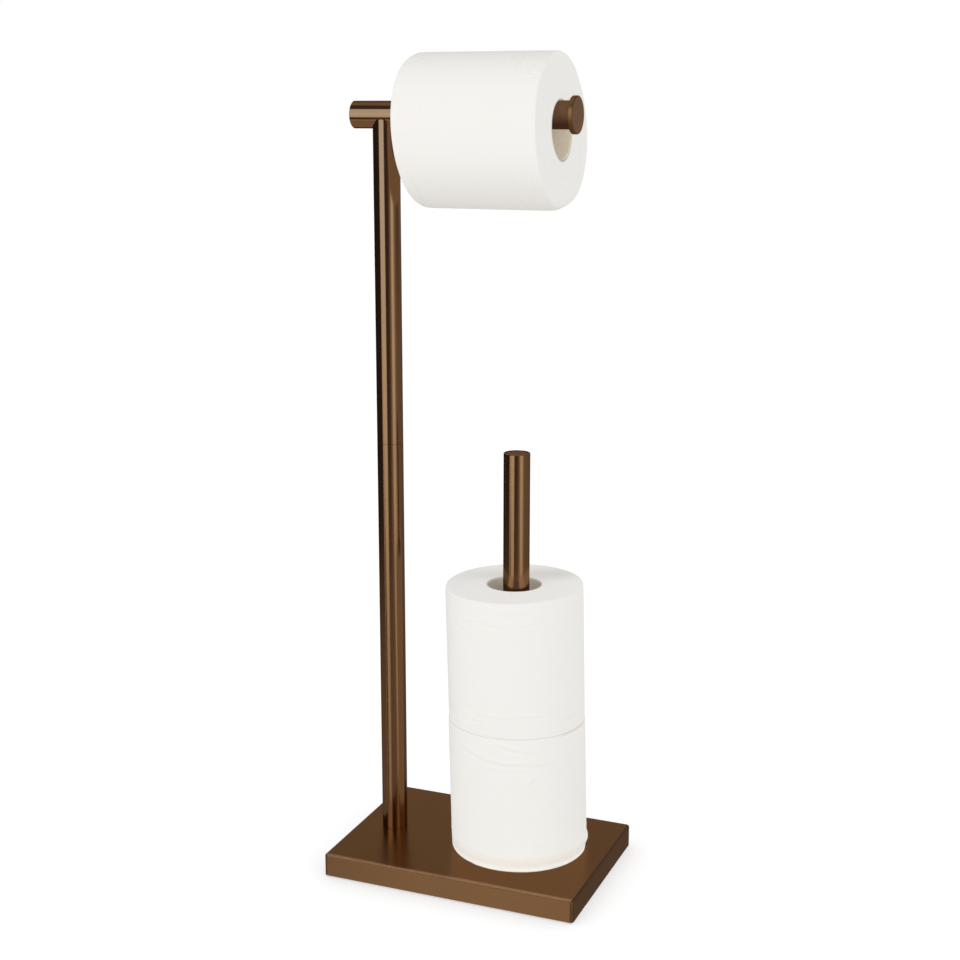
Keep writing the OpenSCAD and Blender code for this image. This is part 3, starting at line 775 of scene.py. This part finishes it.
commonRoll = {
    "axis": "z",
    "stepsRound": 512, "stepsAlong": 150, "shoulderSteps": 6, "faceSteps": 26, "boreSteps": 6,
    "bore": 0.02035,
    "solidLean": 0.055,            # of the arm roll's ends, as its solid has them
    "lean": 0.026,                 # of a spare roll's sides, or of the arm roll's ends
    "eccentric": (0.0, 0.0),       # the skin's middle, from the bore's
    "relief": 0.00025,             # the skin lies this far inside the solid, and folds rise from there
    "over": 0.0,                   # the furthest that they may stand out past it
    "shoulder": (0.0012, 0.0012),  # rounding of the lower and the upper rim
    "softRims": (),                # where a rim is softer: end, turn, half width, extra
    "lifts": ((0.0, 0.0, 0.0), (0.0, 0.0, 0.0)),    # each end's rise at the skin: level, swing, turn
    "endDraw": 0.0002, "endDrawReach": 0.005,       # the skin draws in towards its ends
    "faceDip": 0.00035,            # unevenness of the wound ends
    "sheet": 0.0002,               # the step where the last sheet ends
    "edgeTurn": 1.2, "edgeWander": 0.004,           # the place of that edge, and how it wavers
    "edgeLift": 0.0, "edgeLiftReach": 0.004,        # how it stands off
    "waves": 0.00009,
    "bands": ((0.0172, 0.00011, 0.0012), (0.0196, -0.00017, 0.0010), (0.0218, 0.00006, 0.0011)),
    "bandShift": (0.0006, 0.0003),                  # bands are pressed in near both ends, and waver too
    "rowInset": 0.0165, "rowGap": 0.004,            # two rows of dots near each end
    "foldCount": 26, "foldHeight": 0.00016, "foldSlope": 0.16,
    "foldPlaces": (0.003, 0.024), "foldLengths": (0.006, 0.018), "foldWidths": (0.0010, 0.0019),
    "paintedShadeTop": 0.0, "shadeAndLightBelow": 0.0, "rollSeamShade": None, "backShade": 0.0,    # the painted shades
}

# the photo's own folds: turn, place, slope, half length, half width, height
# turns are in the roll's own frame: -1.2 of a spare roll looks at the camera, the arm roll's top is at pi
armFolds = [
    (-2.69, 0.0105, -0.87, 0.009, 0.0013, -0.00065), (-2.65, 0.0145, -0.87, 0.008, 0.0012, 0.00050),
    (-2.45, 0.0030, 0.90, 0.004, 0.0012, -0.00045), (-2.55, 0.0225, 0.20, 0.006, 0.0026, -0.00040),
    (-2.10, 0.0050, 0.05, 0.012, 0.0013, 0.00035), (-1.35, 0.0075, 0.02, 0.040, 0.0018, 0.00026),
    (-0.75, 0.0105, -0.03, 0.025, 0.0016, 0.00030), (-1.75, 0.0195, 0.02, 0.018, 0.0018, 0.00022),
    (-1.15, 0.0790, -0.02, 0.024, 0.0016, 0.00020), (-0.70, 0.0860, 0.05, 0.022, 0.0018, -0.00030),
    (-2.75, 0.0776, 0.15, 0.006, 0.0018, -0.00060), (-2.62, 0.0880, -0.20, 0.010, 0.0020, 0.00080),
    (-2.45, 0.0935, -0.10, 0.006, 0.0016, -0.00055), (-2.33, 0.0930, 1.45, 0.005, 0.0010, 0.00045),
    (-2.30, 0.0990, 1.60, 0.004, 0.0010, -0.00045), (-2.38, 0.0985, 1.35, 0.004, 0.0010, 0.00040),
    (-2.55, 0.1020, 0.50, 0.006, 0.0014, 0.00060), (-2.40, 0.1030, 0.90, 0.005, 0.0012, -0.00050),
    (-1.22, 0.0125, 0.06, 0.020, 0.0013, 0.00018), (-0.85, 0.0210, -0.08, 0.012, 0.0014, -0.00024),
    (-0.95, 0.0835, 0.12, 0.013, 0.0014, 0.00026), (-0.82, 0.0995, 0.25, 0.009, 0.0011, -0.00036),
    (-0.62, 0.0965, -0.20, 0.010, 0.0012, 0.00034)
]
lowerFolds = [
    (-1.52, 0.0985, -0.12, 0.009, 0.0014, -0.00030), (-1.35, 0.0960, -0.20, 0.012, 0.0014, 0.00050),
    (-1.16, 0.0930, -0.16, 0.008, 0.0012, 0.00040), (-1.90, 0.0880, -0.14, 0.012, 0.0014, 0.00040),
    (-1.42, 0.0840, -0.04, 0.021, 0.0015, 0.00052), (-0.85, 0.0826, 0.05, 0.015, 0.0013, 0.00036),
    (-1.02, 0.0708, 0.75, 0.004, 0.0016, 0.00045), (-1.45, 0.0790, 0.03, 0.014, 0.0016, 0.00016),
    (-2.40, 0.0100, 0.25, 0.010, 0.0012, 0.00026), (-1.45, 0.0102, 0.02, 0.018, 0.0012, 0.00030),
    (-0.85, 0.0110, -0.04, 0.012, 0.0011, 0.00022), (-0.25, 0.0105, -0.10, 0.010, 0.0013, 0.00030),
    (0.32, 0.0072, 0.0, 0.012, 0.0026, 0.00110), (-1.93, 0.0030, 0.30, 0.006, 0.0010, -0.00030),
    (-1.30, 0.0040, 0.05, 0.014, 0.0010, 0.00018)
]
upperFolds = [
    (-2.05, 0.0985, 0.10, 0.013, 0.0010, 0.00024), (-1.25, 0.0950, 0.04, 0.017, 0.0024, 0.00022),
    (-0.80, 0.0925, 0.22, 0.009, 0.0013, 0.00022), (-1.95, 0.0836, 0.14, 0.011, 0.0011, -0.00030),
    (-1.55, 0.0828, -0.06, 0.010, 0.0011, -0.00030), (-1.05, 0.0838, 0.05, 0.013, 0.0011, -0.00026),
    (-2.10, 0.0800, -0.30, 0.007, 0.0011, 0.00024), (-1.50, 0.0172, 0.02, 0.018, 0.0013, 0.00026),
    (-0.95, 0.0182, 0.03, 0.014, 0.0012, 0.00024), (-0.45, 0.0140, -0.25, 0.009, 0.0012, 0.00028),
    (-0.35, 0.0090, 0.10, 0.010, 0.0012, -0.00022), (-1.90, 0.0125, -0.10, 0.010, 0.0013, 0.00018),
    (-0.41, 0.0985, 1.20, 0.003, 0.0009, 0.00020), (-0.25, 0.0980, 1.35, 0.003, 0.0009, 0.00020)
]

armRoll = dict(
    commonRoll, seed=11, axis="x", lean=0.058, leanMore=0.026, relief=0.0003, eccentric=(0.00075, 0.0012),
    softRims=((0, -2.95, 0.36, 0.0037), (0, -0.2, 0.4, 0.0012),
              (1, 0.03, 0.47, 0.0080), (1, 2.15, 0.35, 0.0010)),
    shadeAndLightBelow=0.45, paintedShadeTop=1.0, edgeTurn=-2.23, edgeWander=0.0015, sheet=0.0005, edgeLift=0.0002,
    shoulder=(0.0013, 0.0010), ownFolds=armFolds)
lowerRoll = dict(
    commonRoll, seed=23, shadeAndLightBelow=1.0, relief=0.0003, over=0.0007, eccentric=(-0.0003, 0.0),
    shoulder=(0.0018, 0.0005), lifts=((0.0, 0.0, 0.0), (0.0, 0.0008, -1.2)),
    rollSeamShade=(1, -0.1, 0.62, 0.3), ownFolds=lowerFolds)
upperRoll = dict(
    commonRoll, seed=37, shoulder=(0.0005, 0.0012), softRims=((1, -2.78, 0.5, 0.0012),),
    lifts=((0.0, 0.0008, -1.2), (0.0005, 0.0011, 0.7)), rollSeamShade=(0, -0.1, 0.62, 0.3), backShade=0.19,
    ownFolds=upperFolds)

makeRoll("armRollPaper", "arm_roll_paper", "arm_roll", armRoll)
makeRoll("lowerRollPaper", "lower_roll_paper", "lower_roll", lowerRoll)
makeRoll("upperRollPaper", "upper_roll_paper", "upper_roll", upperRoll)


# camera, at the photograph's place

cameraSet = {"place": (0.424425, -1.039891, 0.555581), "pitch": -13.025, "turn": 22.209, "lens": 60.328,
             "sensor": 36.0, "clip": (0.05, 60)}
cameraData = bpy.data.cameras.new("camera")
cameraData.lens = cameraSet["lens"]
cameraData.sensor_width = cameraSet["sensor"]
cameraData.clip_start, cameraData.clip_end = cameraSet["clip"]
camera = bpy.data.objects.new("camera", cameraData)
camera.location = cameraSet["place"]
camera.rotation_euler = (math.radians(90 + cameraSet["pitch"]), 0, math.radians(cameraSet["turn"]))
bpy.context.scene.collection.objects.link(camera)
bpy.context.scene.camera = camera


# studio: white room, reflector cards, two soft lamps, pale floor

studioSet = {
    "roomDiffuse": 0.90,
    "cardReach": 3.0,
    "cardStep": 6,         # degrees between a card's points
    "centre": (0.0, 0.0, 0.28),
}
# turns are degrees from the camera's side towards its right, tilts are above the horizon
cardList = [
    ("lampUpper", (-65, -23), (-2, 37), (1.02, 1.20, 1.50)),
    ("lampNear", (-65, -23), (28, 49), (1.00, 1.10, 1.30), 1.15),
    ("lampMiddle", (-65, -23), (-11, -2), (1.00, 1.00, 1.01)),
    ("lampLower", (-50, -23), (-17, -11), (0.96, 0.88, 0.77)),
    ("lampLowerFar", (-65, -50), (-14.5, -11), (0.86, 0.79, 0.70)),
    ("lampLowFar", (-65, -62), (-31, -17), (0.62, 0.53, 0.45)),
    ("lampSill", (-62, -50), (-31, -14.5), (0.020, 0.012, 0.008)),
    ("lampLow", (-50, -24), (-22, -17), (0.74, 0.65, 0.55)),
    ("lampLowest", (-50, -24), (-27.5, -22), (0.58, 0.50, 0.42)),
    ("lampFoot", (-50, -32), (-38, -27.5), (0.53, 0.44, 0.38)),
    ("lampFootNear", (-32, -24), (-38, -27.5), (0.36, 0.29, 0.25)),
    ("lampFootFar", (-65, -50), (-38, -31), (0.60, 0.49, 0.42)),
    ("blackLeft", (-150, -65), (-17, 8), (0.035, 0.028, 0.030)),
    ("blackEdge", (-180, -150), (-38, 8), (0.030, 0.025, 0.026)),
    ("darkLeftHigh", (-150, -65), (8, 56), (0.10, 0.07, 0.075)),
    ("darkFront", (-23, 3), (-17, 37), (0.075, 0.054, 0.060)),
    ("darkFrontFar", (3, 11), (-17, 37), (0.13, 0.10, 0.11)),
    ("rampNear", (11, 21), (-17, 37), (0.27, 0.23, 0.21)),
    ("rampFar", (21, 29), (-17, 37), (0.55, 0.51, 0.48)),
    ("lampRight", (29, 50), (-11, 20), (0.99, 0.98, 0.97)),
    ("lampRightLower", (29, 50), (-17, -11), (0.90, 0.83, 0.74)),
    ("lampRightLow", (29, 59), (-27.5, -17), (0.72, 0.64, 0.54)),
    ("fallNear", (50, 62), (-17, 20), (0.47, 0.42, 0.40)),
    ("fallFar", (62, 74), (-17, 20), (0.30, 0.25, 0.24)),
    ("greyRight", (74, 115), (-4, 8), (0.18, 0.135, 0.13)),
    ("greyRightLow", (74, 115), (-17, -4), (0.28, 0.23, 0.22)),
    ("edgeRight", (115, 180), (-14, 1), (0.225, 0.215, 0.25)),
    ("palerRight", (115, 150), (1, 14), (0.44, 0.45, 0.58)),
    ("palerEdge", (150, 180), (1, 8), (0.25, 0.22, 0.24)),
    ("darkRightHigh", (74, 150), (14, 56), (0.11, 0.08, 0.09)),
    ("darkRightLow", (74, 115), (8, 14), (0.11, 0.08, 0.09)),
    ("darkRightNear", (59, 74), (20, 56), (0.11, 0.08, 0.09)),
    ("backLow", (150, 210), (8, 18), (0.38, 0.35, 0.36)),
    ("backHigh", (150, 210), (18, 56), (0.23, 0.18, 0.155)),
    ("visor", (-65, 59), (37, 56), (0.080, 0.066, 0.062)),
    ("visorHigh", (-110, 59), (56, 64), (0.090, 0.070, 0.062)),
    ("ceilingLeft", (-180, -110), (56, 64), (0.33, 0.28, 0.27)),
    ("ceilingRight", (59, 180), (56, 64), (0.29, 0.24, 0.23)),
    ("ceiling", (-180, 180), (64, 90), (0.32, 0.27, 0.26)),
    ("tableLeft", (-150, -65), (-21, -17), (0.16, 0.12, 0.11)),
    ("tableLeftLow", (-150, -65), (-38, -21), (0.23, 0.19, 0.18)),
    ("tableFront", (-24, 29), (-38, -17), (0.24, 0.19, 0.17)),
    ("tableMiddle", (29, 59), (-38, -27.5), (0.26, 0.21, 0.18)),
    ("tableRight", (59, 115), (-23, -17), (0.21, 0.165, 0.155)),
    ("tableRightNear", (59, 115), (-38, -23), (0.14, 0.10, 0.09)),
    ("tableFarRight", (115, 180), (-38, -14), (0.185, 0.18, 0.215)),
    ("tableUnder", (-180, 180), (-90, -38), (0.37, 0.295, 0.26)),
]


def studioCard(name, turns, tilts, colour, reach=studioSet["cardReach"]):
    start = cameraSet["turn"] - 90
    across = max(2, int((turns[1] - turns[0]) / studioSet["cardStep"]))
    upward = max(2, int((tilts[1] - tilts[0]) / studioSet["cardStep"]))
    points, faces = [], []
    for j in range(upward + 1):
        tilt = math.radians(tilts[0] + (tilts[1] - tilts[0]) * j / upward)
        for i in range(across + 1):
            turn = math.radians(start + turns[0] + (turns[1] - turns[0]) * i / across)
            points.append((reach * math.cos(tilt) * math.cos(turn), reach * math.cos(tilt) * math.sin(turn),
                           reach * math.sin(tilt)))
    for j in range(upward):
        for i in range(across):
            a = j * (across + 1) + i
            faces.append((a, a + 1, a + across + 2, a + across + 1))
    mesh = bpy.data.meshes.new(name)
    mesh.from_pydata(points, [], faces)
    card = bpy.data.objects.new(name, mesh)
    card.location = studioSet["centre"]
    material, tree = newMaterial(name)
    finishWith(tree, addNode(tree, "ShaderNodeEmission", {"Color": rgba(colour), "Strength": 1.0}))
    material.cycles.emission_sampling = "NONE"
    mesh.materials.append(material)
    card.visible_camera = card.visible_diffuse = card.visible_shadow = False   # only the metal sees it
    card.visible_transmission = card.visible_volume_scatter = False
    bpy.context.scene.collection.objects.link(card)


for row in cardList:
    studioCard(*row)

world = bpy.data.worlds.new("studio")
bpy.context.scene.world = world
world.use_nodes = True
tree = world.node_tree
tree.nodes.clear()
path = addNode(tree, "ShaderNodeLightPath")
shows = sums(tree, "MAXIMUM", path.outputs["Is Camera Ray"], path.outputs["Is Glossy Ray"])
shows = sums(tree, "MAXIMUM", shows, path.outputs["Is Transmission Ray"])
white = (1, 1, 1, 1)
roomLight = addNode(tree, "ShaderNodeBackground", {"Color": white, "Strength": studioSet["roomDiffuse"]})
backdrop = addNode(tree, "ShaderNodeBackground", {"Color": white, "Strength": 1.0})
mixed = addNode(tree, "ShaderNodeMixShader", {0: shows, 1: roomLight.outputs[0], 2: backdrop.outputs[0]})
addNode(tree, "ShaderNodeOutputWorld", {"Surface": mixed.outputs[0]})

lampList = [
    {"name": "keyLamp", "place": (-0.9, -2.4, 0.75), "size": (1.4, 1.1), "power": 8.5, "aim": (0, 0, 0.3)},
    {"name": "fillLamp", "place": (2.2, -1.1, 0.65), "size": (1.2, 1.1), "power": 4.0, "aim": (0, 0, 0.3)},
]
for s in lampList:
    lampData = bpy.data.lights.new(s["name"], "AREA")
    lampData.shape = "RECTANGLE"
    lampData.size, lampData.size_y = s["size"]
    lampData.energy = s["power"]
    lamp = bpy.data.objects.new(s["name"], lampData)
    lamp.location = s["place"]
    lamp.rotation_euler = (Vector(s["aim"]) - Vector(s["place"])).to_track_quat("-Z", "Y").to_euler()
    lamp.visible_glossy = lamp.visible_camera = False
    bpy.context.scene.collection.objects.link(lamp)

floorSet = {"half": 8.0, "bounce": 0.88, "shadowShare": 0.62, "glow": 0.475}
floorMesh = bpy.data.meshes.new("floor")
half = floorSet["half"]
floorMesh.from_pydata([(-half, -half, 0), (half, -half, 0), (half, half, 0), (-half, half, 0)], [],
                      [(0, 1, 2, 3)])
floor = bpy.data.objects.new("floor", floorMesh)
bpy.context.scene.collection.objects.link(floor)
material, tree = newMaterial("paleFloor")
path = addNode(tree, "ShaderNodeLightPath")
paint = addNode(tree, "ShaderNodeBsdfDiffuse", {"Color": rgba((floorSet["bounce"],) * 3)})
shadowPaint = addNode(tree, "ShaderNodeBsdfDiffuse", {"Color": rgba((floorSet["shadowShare"],) * 3)})
glow = addNode(tree, "ShaderNodeEmission", {"Color": white, "Strength": floorSet["glow"]})
seen = addNode(tree, "ShaderNodeAddShader", {0: shadowPaint.outputs[0], 1: glow.outputs[0]})
mixed = addNode(tree, "ShaderNodeMixShader", {0: path.outputs["Is Camera Ray"], 1: paint.outputs[0],
                                              2: seen.outputs[0]})
finishWith(tree, mixed)
material.cycles.emission_sampling = "NONE"
floorMesh.materials.append(material)
floor.visible_glossy = False                       # the metal sees the cards below it
print("studio ready")

bpy.context.scene.view_settings.view_transform = "Standard"
